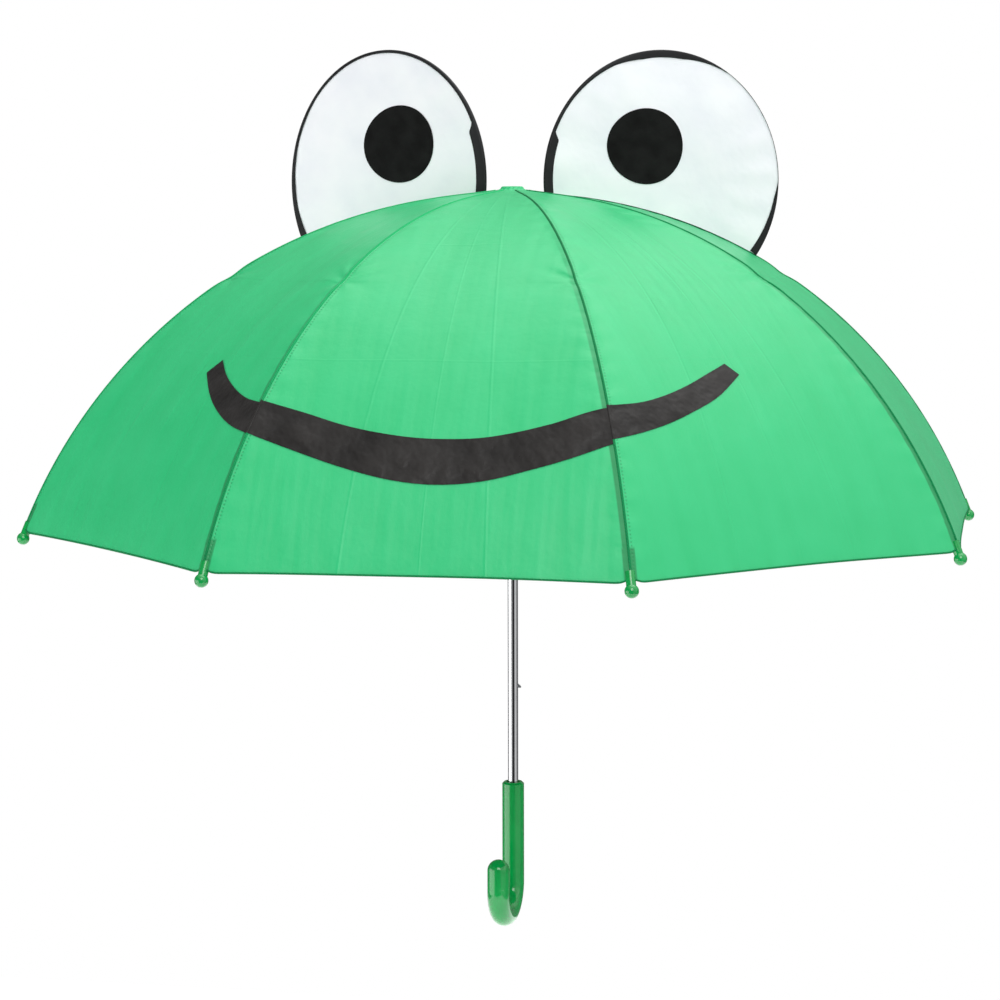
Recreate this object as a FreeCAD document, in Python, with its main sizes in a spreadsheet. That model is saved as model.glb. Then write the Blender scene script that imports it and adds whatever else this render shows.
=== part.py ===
import FreeCAD, Part
import Sketcher
import math
import os

# Children's umbrella with a frog face: a hook handle, a sliding runner on a thin shaft, eight
# ribs that fold, and two pop-up eyes.
#
# Frame: millimetres, +Z up the shaft, -Y the way the face looks, and the origin on the shaft's
# axis at the middle of the straight grip. Ribs are numbered from the front left, turning from
# -X through -Y to +X, and panel k lies between rib k and rib k + 1. The umbrella is open.
# Depths are measured inwards from the canopy's outer arc, and drops down from the crown.

SIZES = {
    # grip, hook and shaft
    "grip_radius": 8.5, "grip_length": 78.0, "grip_edge": 1.5, "hook_radius": 22.3,
    "hook_leg": 17.5, "hook_turn": 4.0, "socket_radius": 5.2, "socket_depth": 2.0,
    "shaft_radius": 4.0, "shaft_wall": 0.5, "shaft_sink": 60.0, "crown_height": 500.0,
    # crown: cap, notch and the wire that the ribs turn on
    "cap_radius": 8.85, "cap_height": 4.6, "cap_edge": 0.8, "cap_skin": 1.2,
    "notch_radius": 9.0, "notch_top": 6.6, "notch_height": 6.0, "notch_slot": 1.7,
    "notch_core": 5.2, "hinge_radius": 7.0, "hinge_drop": 9.0, "wire_radius": 0.5,
    "wire_play": 0.07,
    # the ribs' arc and section
    "arc_radius": 396.0, "arc_centre": 4.24, "arc_drop": 401.0, "rib_depth": 2.3,
    "rib_width": 3.0, "rib_height": 2.4, "rib_wall": 0.5, "rib_start": 13.6,
    "flex_angle": 32.665, "flex_gap": 0.02, "rib_finish": 67.95, "rib_ring": 1.4,
    "tongue_width": 1.2, "tongue_end": 17.0,
    # bracket under each rib, and the stretchers
    "bracket_angle": 25.286, "bracket_depth": 7.7, "bracket_length": 7.0, "ear_wall": 0.6,
    "ear_foot": 1.8, "ear_top": 2.7, "rivet_radius": 0.8, "rivet_play": 0.08,
    "stretcher_width": 2.6, "stretcher_height": 2.2, "stretcher_wall": 0.45,
    "stretcher_ring": 1.7, "stretcher_tongue": 12.0, "runner_hinge": 9.5,
    # rib tips
    "tip_depth": 2.0, "tip_angle": 67.25, "neck_radius": 3.25, "neck_length": 13.0,
    "ball_radius": 4.65, "tip_play": 0.06, "tip_socket": 5.5,
    # runner, its stop and the two catches
    "runner_open": 148.5, "runner_closed": 362.7, "runner_bore": 4.1, "sleeve_radius": 7.3,
    "sleeve_length": 50.0, "flange_radius": 11.2, "flange_half": 5.0, "runner_slot": 1.9,
    "slot_floor": 7.5, "groove_reach": 6.6, "groove_width": 2.6, "catch_drop": 22.6,
    "window_below": 4.3, "window_height": 6.0, "stop_radius": 0.8, "stop_length": 11.0,
    "stop_gap": 0.3, "catch_width": 1.6, "catch_wall": 0.5, "catch_seat": 2.2,
    "catch_length": 35.0, "nose_reach": 6.3, "nose_height": 3.0, "slot_width": 2.0,
    "slot_height": 4.2,
    # cloth: canopy, strap and eyes
    "cloth_depth": 1.3, "cloth_gap": 0.5, "cloth_hole": 4.6, "hem_angle": 66.8,
    "strap_wall": 0.7, "strap_lift": 0.4, "strap_width": 14.0, "strap_top": 52.0,
    "strap_low": 65.5, "snap_angle": 53.2, "snap_radius": 5.5, "snap_height": 1.6,
    "eye_along": 93.0, "eye_up": 99.0, "eye_at": 118.0, "eye_rise": 5.0, "eye_lift": 0.4,
    "hoop_width": 2.4, "hoop_wall": 2.4, "hoop_play": 0.1, "face_wall": 0.8,
    "face_gap": 0.4, "pupil_radius": 30.0, "pupil_wall": 0.6, "pupil_at": 104.0,
    "pupil_rise": 31.0,
}
RIBS = 8
SPREAD = 360.0 / RIBS
EYE_RIBS = {"eye_left": (8, 1), "eye_right": (5, -1)}
STRAP_PANEL = 6
X, Y, Z = FreeCAD.Vector(1, 0, 0), FreeCAD.Vector(0, 1, 0), FreeCAD.Vector(0, 0, 1)
ORIGIN = FreeCAD.Vector(0, 0, 0)
UPRIGHT = FreeCAD.Rotation(FreeCAD.Vector(1, 1, 1), 240)


class Size:
    """A number from the sheet, or one worked out from such numbers, with its expression."""

    def __init__(self, value, text):
        self.value, self.text = value, text

    def __add__(self, other):
        other = sized(other)
        return Size(self.value + other.value, f"({self.text} + {other.text})")

    __radd__ = __add__

    def __sub__(self, other):
        other = sized(other)
        return Size(self.value - other.value, f"({self.text} - {other.text})")

    def __mul__(self, other):
        other = sized(other)
        return Size(self.value * other.value, f"({self.text} * {other.text})")

    __rmul__ = __mul__

    def __rsub__(self, other):
        return sized(other) - self

    def __truediv__(self, other):
        other = sized(other)
        return Size(self.value / other.value, f"({self.text} / {other.text})")

    def __neg__(self):
        return Size(-self.value, f"(-1 * {self.text})")


def sized(number):
    """Give a plain number the same form as a size from the sheet."""
    return number if isinstance(number, Size) else Size(float(number), repr(float(number)))


class Sheet:
    """The sheet of driving sizes, read as attributes, such as sheet.rib_width."""

    def __init__(self, document):
        self.cells = document.addObject("Spreadsheet::Sheet", "Sizes")
        for row, (name, value) in enumerate(SIZES.items(), start=1):
            self.cells.set(f"A{row}", name)
            self.cells.set(f"B{row}", repr(value))
            self.cells.setAlias(f"B{row}", name)
        document.recompute()

    def __getattr__(self, name):
        return Size(float(getattr(self.cells, name)), f"Sizes.{name}")


doc = FreeCAD.newDocument("umbrella")
sheet = Sheet(doc)
nodes = []


# ---------------------------------------------------------------- places

def crown(drop):
    """The height of a place that far below the crown."""
    return sheet.crown_height - drop


def heading(turn):
    """The angle about +Z that turns +X to a direction 'turn' degrees left of the face's."""
    return -(90.0 + turn)


def rib_turn(number):
    return 1.5 * SPREAD - SPREAD * (number - 1)


def panel_turn(number):
    return rib_turn(number) - SPREAD / 2


def point(x, y, z):
    """A vector from sizes or plain numbers."""
    return FreeCAD.Vector(*(sized(size).value for size in (x, y, z)))


def at(x, y, z):
    """A placement that only moves."""
    return FreeCAD.Placement(point(x, y, z), FreeCAD.Rotation())


def tilted(base, tilt):
    """A placement that tilts about +Y, so that +X dips, and then moves."""
    return FreeCAD.Placement(base, FreeCAD.Rotation(Y, tilt))


def turned(turn, base=ORIGIN, tilt=0.0):
    """A radial plane's frame: tilted, moved to base, then turned about the shaft."""
    around = FreeCAD.Placement(ORIGIN, FreeCAD.Rotation(Z, heading(turn)))
    return around.multiply(tilted(base, tilt))


def along_y(x, z, length):
    """Lays a cylinder along Y, centred on Y = 0."""
    return FreeCAD.Placement(point(x, -sized(length) / 2, z), FreeCAD.Rotation(X, -90))


def arc_base():
    """The centre of the ribs' arc, in a radial plane."""
    return point(sheet.arc_centre, 0, crown(sheet.arc_drop))


def from_arc(depth, angle):
    """A point from the arc's centre, that deep inside the arc and that far from its top."""
    reach, turn = sheet.arc_radius.value - sized(depth).value, math.radians(sized(angle).value)
    return FreeCAD.Vector(reach * math.sin(turn), 0, reach * math.cos(turn))


# ---------------------------------------------------------------- features

def bind(target, **values):
    """Drive the named properties of an object from the sheet."""
    for name, value in values.items():
        target.setExpression(name, sized(value).text)
    return target


def keep(target, label, place=None):
    """Count an object as a sub-part, with its label and its place."""
    target.Label = label
    if place is not None:
        target.Placement = place
    nodes.append(target)
    return target


def new_body(label, place):
    return keep(doc.addObject("PartDesign::Body", label), label, place)


def add(body, kind, place, **values):
    """Put a PartDesign primitive, such as AdditiveCylinder, into a body."""
    made = body.newObject(f"PartDesign::{kind}", f"{body.Name}_{kind}")
    made.Placement = place
    return bind(made, **values)


def bar(body, kind, corner, length, width, height):
    """A box from a point (x, z) of its low edge's middle, along X, centred across Y."""
    width = sized(width)
    place = at(corner[0], -width / 2, corner[1])
    return add(body, kind, place, Length=length, Width=width, Height=height)


def origin_part(body, role):
    return next(f for f in body.Origin.OriginFeatures if f.Role == role)


def repeat(body, cut, count):
    """Repeat a cut evenly about the body's Z axis."""
    pattern = body.newObject("PartDesign::PolarPattern", f"{body.Name}_pattern")
    pattern.Originals = [cut]
    pattern.Axis = (origin_part(body, "Z_Axis"), [""])
    pattern.Angle = 360
    pattern.Occurrences = count
    body.Tip = pattern
    return pattern


def outline(body, role, corners):
    """A sketch of straight lines whose corners are held by the sheet."""
    sketch = body.newObject("Sketcher::SketchObject", f"{body.Name}_outline")
    sketch.AttachmentSupport = (origin_part(body, role), [""])
    sketch.MapMode = "FlatFace"
    points = [point(a, b, 0) for a, b in corners]
    for start, end in zip(points, points[1:] + points[:1]):
        sketch.addGeometry(Part.LineSegment(start, end), False)
    for i in range(len(points)):
        join = Sketcher.Constraint("Coincident", i, 2, (i + 1) % len(points), 1)
        sketch.addConstraint(join)
    for i, pair in enumerate(corners):
        for kind, size in zip(("DistanceX", "DistanceY"), pair):
            size = sized(size)
            held = sketch.addConstraint(Sketcher.Constraint(kind, i, 1, size.value))
            sketch.setExpression(f"Constraints[{held}]", size.text)
    return sketch


def channel(width, height, wall, top):
    """The outline of a folded steel channel that is open downwards, as (across, up)."""
    half, low = width / 2, top - height
    return [
        (-half, low), (-half, top), (half, top), (half, low),
        (half - wall, low), (half - wall, top - wall), (-half + wall, top - wall),
        (-half + wall, low),
    ]


# ---------------------------------------------------------------- grip, shaft and crown

def hook_handle():
    """A round grip that turns into a J hook, with a socket round the shaft at its top."""
    body = new_body("hook_handle", turned(sheet.hook_turn.value))
    radius, edge, bend = sheet.grip_radius, sheet.grip_edge, sheet.hook_radius
    half = sheet.grip_length / 2
    add(body, "AdditiveCylinder", at(0, 0, -half), Radius=radius, Height=half * 2 - edge)
    add(body, "AdditiveCone", at(0, 0, half - edge), Radius1=radius, Radius2=radius - edge,
        Height=edge)
    under = at(bend, 0, -half).multiply(FreeCAD.Placement(ORIGIN, FreeCAD.Rotation(X, -90)))
    add(body, "AdditiveTorus", under, Radius1=bend, Radius2=radius, Angle3=180)
    add(body, "AdditiveCylinder", at(bend * 2, 0, -half), Radius=radius, Height=sheet.hook_leg)
    add(body, "AdditiveSphere", at(bend * 2, 0, sheet.hook_leg - half), Radius=radius)
    add(body, "SubtractiveCylinder", at(0, 0, half - sheet.shaft_sink),
        Radius=sheet.shaft_radius, Height=sheet.shaft_sink)
    add(body, "SubtractiveCylinder", at(0, 0, half - sheet.socket_depth),
        Radius=sheet.socket_radius, Height=sheet.socket_depth)


def shaft_tube():
    """The steel tube, closed at its top, with a hole for the stop pin and two catch slots."""
    foot = sheet.grip_length / 2 - sheet.shaft_sink
    length = sheet.crown_height - sheet.cap_skin - foot
    body = new_body("shaft_tube", at(0, 0, foot))
    add(body, "AdditiveCylinder", at(0, 0, 0), Radius=sheet.shaft_radius, Height=length)
    add(body, "SubtractiveCylinder", at(0, 0, 0), Radius=sheet.shaft_radius - sheet.shaft_wall,
        Height=length - sheet.shaft_wall)
    add(body, "SubtractiveCylinder", along_y(0, stop_height() - foot, sheet.stop_length),
        Radius=sheet.stop_radius, Height=sheet.stop_length)
    for drop in (sheet.runner_open, sheet.runner_closed):
        low = crown(drop + sheet.catch_drop) - foot - sheet.slot_height / 2
        bar(body, "SubtractiveBox", (sheet.shaft_radius - sheet.shaft_wall * 2, low),
            sheet.shaft_radius, sheet.slot_width, sheet.slot_height)


def stop_height():
    """The stop pin's height, just clear of the top of the open runner."""
    clear = sheet.flange_half + sheet.stop_gap + sheet.stop_radius
    return crown(sheet.runner_open - clear)


def runner_stop_pin():
    pin = bind(doc.addObject("Part::Cylinder", "stop_pin"), Radius=sheet.stop_radius,
               Height=sheet.stop_length)
    keep(pin, "runner_stop_pin", along_y(0, stop_height(), sheet.stop_length))


def top_cap():
    """The thin cap that closes the crown over the canopy and the shaft's end."""
    body = new_body("top_cap", at(0, 0, crown(sheet.cap_height)))
    radius, height, edge = sheet.cap_radius, sheet.cap_height, sheet.cap_edge
    add(body, "AdditiveCylinder", at(0, 0, 0), Radius=radius, Height=height - edge)
    add(body, "AdditiveCone", at(0, 0, height - edge), Radius1=radius, Radius2=radius - edge,
        Height=edge)
    add(body, "SubtractiveCylinder", at(0, 0, 0), Radius=sheet.shaft_radius,
        Height=height - sheet.cap_skin)


def top_notch():
    """The slotted ring under the crown, with a channel for the wire that the ribs turn on."""
    body = new_body("top_notch", turned(rib_turn(1), point(0, 0, notch_floor())))
    height = sheet.notch_height
    add(body, "AdditiveCylinder", at(0, 0, 0), Radius=sheet.notch_radius, Height=height)
    add(body, "SubtractiveCylinder", at(0, 0, 0), Radius=sheet.shaft_radius, Height=height)
    level = crown(sheet.hinge_drop) - notch_floor()
    add(body, "SubtractiveTorus", at(0, 0, level), Radius1=sheet.hinge_radius,
        Radius2=sheet.wire_radius + sheet.wire_play)
    slot = bar(body, "SubtractiveBox", (sheet.notch_core, 0), sheet.notch_radius,
               sheet.notch_slot, height)
    repeat(body, slot, RIBS)


def notch_floor():
    return crown(sheet.notch_top + sheet.notch_height)


def notch_wire():
    ring = bind(doc.addObject("Part::Torus", "wire_ring"), Radius1=sheet.hinge_radius,
                Radius2=sheet.wire_radius)
    keep(ring, "notch_wire", at(0, 0, crown(sheet.hinge_drop)))


# ---------------------------------------------------------------- runner and catches

def runner():
    """The sliding sleeve with a slotted flange, a catch window and a channel for the noses."""
    body = new_body("runner", at(0, 0, crown(sheet.runner_open)))
    half, length = sheet.flange_half, sheet.sleeve_length
    foot = half - length
    add(body, "AdditiveCylinder", at(0, 0, foot), Radius=sheet.sleeve_radius, Height=length)
    add(body, "AdditiveCylinder", at(0, 0, -half), Radius=sheet.flange_radius, Height=half * 2)
    add(body, "SubtractiveCylinder", at(0, 0, foot), Radius=sheet.runner_bore, Height=length)
    bar(body, "SubtractiveBox", (0, foot), sheet.groove_reach, sheet.groove_width, length)
    bar(body, "SubtractiveBox", (0, -sheet.catch_drop - sheet.window_below),
        sheet.sleeve_radius * 2, sheet.groove_width, sheet.window_height)
    add(body, "SubtractiveTorus", at(0, 0, 0), Radius1=sheet.runner_hinge,
        Radius2=sheet.wire_radius + sheet.wire_play)
    repeat(body, runner_slot(body), RIBS)


def runner_slot(body):
    """One radial slot of the runner's flange, right through it and open outwards."""
    half, width = sheet.flange_half, sheet.runner_slot
    across = at(sheet.slot_floor, -width / 2, -half)
    return add(body, "SubtractiveBox", turned(rib_turn(1)).multiply(across),
               Length=sheet.flange_radius, Width=width, Height=half * 2)


def runner_wire():
    """The wire that the stretchers turn on, in the runner's channel between its slots."""
    body = new_body("runner_wire", at(0, 0, crown(sheet.runner_open)))
    add(body, "AdditiveTorus", at(0, 0, 0), Radius1=sheet.runner_hinge,
        Radius2=sheet.wire_radius)
    repeat(body, runner_slot(body), RIBS)


def catch_spring(label, drop, flat):
    """A leaf spring in the tube, with a nose through its slot: flat above (1) or below (-1)."""
    body = new_body(label, at(0, 0, crown(drop + sheet.catch_drop)))
    seat, wall, half = sheet.catch_seat, sheet.catch_wall, sheet.nose_height / 2
    bar(body, "AdditiveBox", (seat, -sheet.catch_length), wall, sheet.catch_width,
        sheet.catch_length + half)
    root, reach = seat + wall / 2, sheet.nose_reach
    corners = [
        (root, half * flat), (reach, half * flat), (reach, half * flat / 3),
        (sheet.shaft_radius, half * -flat), (root, half * -flat),
    ]
    nose = body.newObject("PartDesign::Pad", f"{label}_nose")
    nose.Profile = outline(body, "XZ_Plane", corners)
    nose.Midplane = True
    bind(nose, Length=sheet.catch_width)


# ---------------------------------------------------------------- ribs, stretchers and tips

def rib_bow(body, angle):
    """Bend a rib's channel along its arc, from straight above the arc's centre."""
    top = sheet.arc_radius - sheet.rib_depth
    corners = channel(sheet.rib_width, sheet.rib_height, sheet.rib_wall, top)
    bow = body.newObject("PartDesign::Revolution", f"{body.Name}_bow")
    bow.Profile = outline(body, "YZ_Plane", corners)
    bow.ReferenceAxis = (origin_part(body, "Y_Axis"), [""])
    bind(bow, Angle=angle)


def rib_inner(number):
    """The rib from the notch to its bend, with the riveted bracket for its stretcher."""
    body = new_body(f"rib_{number}_inner", turned(rib_turn(number), arc_base()))
    rib_bow(body, sheet.flex_angle - sheet.flex_gap)
    hinge = sheet.hinge_radius - sheet.arc_centre
    level = sheet.arc_drop - sheet.hinge_drop
    ring, width = sheet.rib_ring, sheet.tongue_width
    bar(body, "SubtractiveBox", (-ring, sheet.arc_radius / 2),
        sheet.rib_start - sheet.arc_centre + ring, sheet.rib_width * 2, sheet.arc_radius)
    bar(body, "AdditiveBox", (hinge, level - ring), sheet.tongue_end - sheet.hinge_radius,
        width, ring * 2)
    add(body, "AdditiveCylinder", along_y(hinge, level, width), Radius=ring, Height=width)
    add(body, "SubtractiveCylinder", along_y(hinge, level, width),
        Radius=sheet.wire_radius + sheet.wire_play, Height=width)
    bracket(body)


def bracket(body):
    """Two ears beside the channel and the rivet across them."""
    angle, wall = sheet.bracket_angle, sheet.ear_wall
    foot = from_arc(sheet.bracket_depth + sheet.ear_foot, angle)
    height = sheet.bracket_depth + sheet.ear_foot - sheet.ear_top
    for side in (-1, 1):
        middle = (sheet.rib_width + wall) / 2 * side
        place = tilted(foot, angle.value).multiply(
            at(-sheet.bracket_length / 2, middle - wall / 2, 0))
        add(body, "AdditiveBox", place, Length=sheet.bracket_length, Width=wall, Height=height)
    pivot = from_arc(sheet.bracket_depth, angle)
    across = sheet.rib_width + wall * 3
    add(body, "AdditiveCylinder", along_y(pivot.x, pivot.z, across),
        Radius=sheet.rivet_radius, Height=across)


def rib_outer(number):
    """The rib from its bend to its tip."""
    start = sheet.flex_angle + sheet.flex_gap
    body = new_body(f"rib_{number}_outer", turned(rib_turn(number), arc_base(), start.value))
    rib_bow(body, sheet.rib_finish - start)


def stretcher_ends():
    """The stretcher's outer and inner pivots, in the radial plane."""
    outer = arc_base() + from_arc(sheet.bracket_depth, sheet.bracket_angle)
    return outer, point(sheet.runner_hinge, 0, crown(sheet.runner_open))


def stretcher(number):
    """A channel from the rib's bracket to the runner, with a flat tongue at its inner end."""
    outer, inner = stretcher_ends()
    reach = inner - outer
    length, dip = reach.Length, math.degrees(math.atan2(-reach.z, reach.x))
    body = new_body(f"stretcher_{number}", turned(rib_turn(number), outer, dip))
    half, width = sheet.stretcher_height / 2, sheet.stretcher_width
    arm = body.newObject("PartDesign::Pad", f"stretcher_{number}_arm")
    arm.Profile = outline(body, "YZ_Plane",
                          channel(width, half * 2, sheet.stretcher_wall, half))
    bind(arm, Length=sized(length) - sheet.stretcher_tongue)
    ring, thin, overlap = sheet.rib_ring, sheet.tongue_width, sheet.stretcher_ring
    bar(body, "AdditiveBox", (sized(length) - sheet.stretcher_tongue - overlap, -half),
        sheet.stretcher_tongue + overlap, thin, half * 2)
    add(body, "AdditiveCylinder", along_y(0, 0, width), Radius=overlap, Height=width)
    add(body, "AdditiveCylinder", along_y(length, 0, thin), Radius=ring, Height=thin)
    add(body, "SubtractiveCylinder", along_y(0, 0, width),
        Radius=sheet.rivet_radius + sheet.rivet_play, Height=width)
    add(body, "SubtractiveCylinder", along_y(length, 0, thin),
        Radius=sheet.wire_radius + sheet.wire_play, Height=thin)


def rib_tip(number):
    """A ball on a neck, with a socket that the rib's end sits in."""
    angle = sheet.tip_angle.value
    body = new_body(f"rib_tip_{number}", turned(rib_turn(number), arc_base(), angle))
    axis, play = sheet.arc_radius - sheet.tip_depth, sheet.tip_play
    outward = FreeCAD.Rotation(Y, 90)
    add(body, "AdditiveCylinder", FreeCAD.Placement(point(0, 0, axis), outward),
        Radius=sheet.neck_radius, Height=sheet.neck_length)
    add(body, "AdditiveSphere", at(sheet.neck_length, 0, axis), Radius=sheet.ball_radius)
    low = sheet.arc_radius - sheet.rib_depth - sheet.rib_height - play
    bar(body, "SubtractiveBox", (0, low), sheet.tip_socket, sheet.rib_width + play * 2,
        sheet.rib_height + play * 2)


# ---------------------------------------------------------------- cloth

def gore_sheet(depth, wall, first, last):
    """A strip of the gore's curved sheet, as wide as it needs, in the gore's middle plane.

    A gore is straight from rib to rib, so across its middle its arc is squeezed towards the
    shaft into part of an ellipse.
    """
    squeeze = math.cos(math.radians(SPREAD / 2))
    centre = point(sheet.arc_centre * squeeze, 0, crown(sheet.arc_drop))
    width = sheet.arc_radius.value
    turns = [math.radians(angle) for angle in (first, last)]
    arcs = []
    for inward in (depth, depth + wall):
        reach = width - inward
        up, out = point(0, 0, reach), point(reach * squeeze, 0, 0)
        arcs.append(Part.Ellipse(centre + up, centre + out, centre))
    outer, inner = [arc.toShape(*turns) for arc in arcs]
    sides = [
        Part.makeLine(outer.valueAt(edge_end(outer, i)), inner.valueAt(edge_end(inner, i)))
        for i in (0, 1)
    ]
    face = Part.Face(Part.Wire([outer, sides[1], inner, sides[0]]))
    face.translate(FreeCAD.Vector(0, -width, 0))
    return face.extrude(FreeCAD.Vector(0, 2 * width, 0))


def edge_end(edge, which):
    return edge.ParameterRange[which]


def gore_wedge():
    """The space between two ribs' planes, less half the gap to each neighbour."""
    half = math.radians(SPREAD / 2)
    apex = sheet.cloth_gap.value / 2 / math.sin(half)
    far = 2 * sheet.arc_radius.value
    reach = far * math.tan(half)
    corners = [(apex, 0), (apex + far, -reach), (apex + far, reach), (apex, 0)]
    wedge = Part.Face(Part.makePolygon([FreeCAD.Vector(x, y, 0) for x, y in corners]))
    return wedge.extrude(FreeCAD.Vector(0, 0, sheet.crown_height.value))


def canopy_panel(number):
    """One gore of the canopy, from the cap to the hem."""
    cloth = gore_sheet(0.0, sheet.cloth_depth.value, 0.0, sheet.hem_angle.value)
    hole = Part.makeCylinder(sheet.cloth_hole.value, sheet.crown_height.value)
    gore = doc.addObject("Part::Feature", f"gore_{number}")
    gore.Shape = cloth.common(gore_wedge()).cut(hole)
    keep(gore, f"canopy_panel_{number}", turned(panel_turn(number)))


def tie_strap():
    """The strap on the back panel that holds the closed umbrella."""
    wall = sheet.strap_wall.value
    cloth = gore_sheet(-sheet.strap_lift.value - wall, wall, sheet.strap_top.value,
                       sheet.strap_low.value)
    half = sheet.strap_width.value / 2
    size = 2 * sheet.arc_radius.value
    lane = Part.makeBox(size, half * 2, size, FreeCAD.Vector(0, -half, 0))
    strap = doc.addObject("Part::Feature", "strap")
    strap.Shape = cloth.common(lane)
    keep(strap, "tie_strap", turned(panel_turn(STRAP_PANEL)))


def strap_snap():
    """The press stud near the strap's free end."""
    snap = bind(doc.addObject("Part::Cylinder", "snap"), Radius=sheet.snap_radius,
                Height=sheet.snap_height)
    squeeze = math.cos(math.radians(SPREAD / 2))
    depth = -(sheet.strap_lift + sheet.strap_wall)
    spot = from_arc(depth, sheet.snap_angle)
    turn = math.radians(sheet.snap_angle.value)
    lean = math.degrees(math.atan2(math.sin(turn), math.cos(turn) * squeeze))
    base = point((spot.x + sheet.arc_centre) * squeeze, 0, spot.z + crown(sheet.arc_drop))
    lifted = tilted(base, lean).multiply(at(0, 0, sheet.strap_lift / 4))
    keep(snap, "strap_snap", turned(panel_turn(STRAP_PANEL)).multiply(lifted))


def eye_outline(name, inset, start, wall):
    """The eye's oval, less an inset all round, as a plate from 'start' along Y."""
    oval = bind(doc.addObject("Part::Ellipse", f"{name}_oval"),
                MajorRadius=sheet.eye_up - inset, MinorRadius=sheet.eye_along - inset)
    centre = point(sheet.eye_at, start, crown(-sheet.eye_rise))
    oval.Placement = FreeCAD.Placement(centre, UPRIGHT)
    plate = doc.addObject("Part::Extrusion", f"{name}_plate")
    plate.Base = oval
    plate.DirMode = "Normal"
    plate.Solid = True
    return bind(plate, LengthFwd=wall)


def above_canopy(name, plate, turn):
    """Cut away what would lie inside the canopy."""
    span = sheet.eye_up
    dome = bind(doc.addObject("Part::Cylinder", f"{name}_dome"),
                Radius=sheet.arc_radius + sheet.eye_lift, Height=span)
    base = arc_base()
    dome.Placement = along_y(base.x, base.z, span)
    cut = doc.addObject("Part::Cut", f"{name}_cut")
    cut.Base, cut.Tool = plate, dome
    return keep(cut, name, turned(turn))


def eye(name, number, side):
    """A stiffened eye in a rib's plane: a white face, a black back, a hoop and a pupil."""
    turn = rib_turn(number)
    wall, gap, hoop = sheet.face_wall, sheet.face_gap, sheet.hoop_width
    inset = hoop + sheet.hoop_play
    for label, where in (("front", side), ("back", -side)):
        start = gap / 2 if where > 0 else -gap / 2 - wall
        face = f"{name}_{label}"
        above_canopy(face, eye_outline(face, inset, start, wall), turn)
    ring = doc.addObject("Part::Cut", f"{name}_ring")
    low = -sheet.hoop_wall / 2
    ring.Base = eye_outline(f"{name}_rim", sized(0), low, sheet.hoop_wall)
    ring.Tool = eye_outline(f"{name}_opening", hoop, low, sheet.hoop_wall)
    above_canopy(f"{name}_hoop", ring, turn)
    disc = bind(doc.addObject("Part::Cylinder", f"{name}_disc"), Radius=sheet.pupil_radius,
                Height=sheet.pupil_wall)
    out = gap / 2 + wall
    start = out if side > 0 else -out - sheet.pupil_wall
    spot = point(sheet.pupil_at, start, crown(-sheet.pupil_rise))
    flat = FreeCAD.Placement(spot, FreeCAD.Rotation(X, -90))
    keep(disc, f"{name}_pupil", turned(turn).multiply(flat))


# ---------------------------------------------------------------- build, check and write

def build():
    hook_handle()
    shaft_tube()
    top_cap()
    top_notch()
    notch_wire()
    runner_stop_pin()
    runner()
    runner_wire()
    catch_spring("top_catch_spring", sheet.runner_open, 1)
    catch_spring("bottom_catch_spring", sheet.runner_closed, -1)
    for number in range(1, RIBS + 1):
        rib_inner(number)
        rib_outer(number)
        stretcher(number)
        rib_tip(number)
        canopy_panel(number)
    tie_strap()
    strap_snap()
    for name, (number, side) in EYE_RIBS.items():
        eye(name, number, side)
    doc.recompute()


def check():
    """Stop before writing if any object failed or any sub-part has no sound shape."""
    failed = [o.Name for o in doc.Objects if {"Invalid", "Error"} & set(o.State)]
    unsound = [n.Label for n in nodes if n.Shape.isNull() or not n.Shape.isValid()]
    if failed or unsound:
        raise RuntimeError(f"failed: {failed}, unsound: {unsound}")


def write():
    os.makedirs("parts", exist_ok=True)
    for node in nodes:
        node.Shape.exportStep(f"parts/{node.Label}.step")
        print(f"{node.Label}: {node.Shape.Volume:.1f} mm3, {len(node.Shape.Solids)} solids")


build()
check()
write()
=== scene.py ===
"""The looks of a child's frog umbrella, built around its CAD frame.

Every piece is made in metres in the frame's own axes: Z runs up the shaft from the
middle of the grip, and the mouth faces -Y. A place on the cloth is given by its panel,
by how far across the panel it lies (-1 at one rib, +1 at the next) and by its distance
down from the crown.
"""

import logging
import math
from collections.abc import Callable, Sequence
from dataclasses import dataclass, field
from enum import Enum

import bmesh
import bpy
from mathutils import Matrix, Vector

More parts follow.
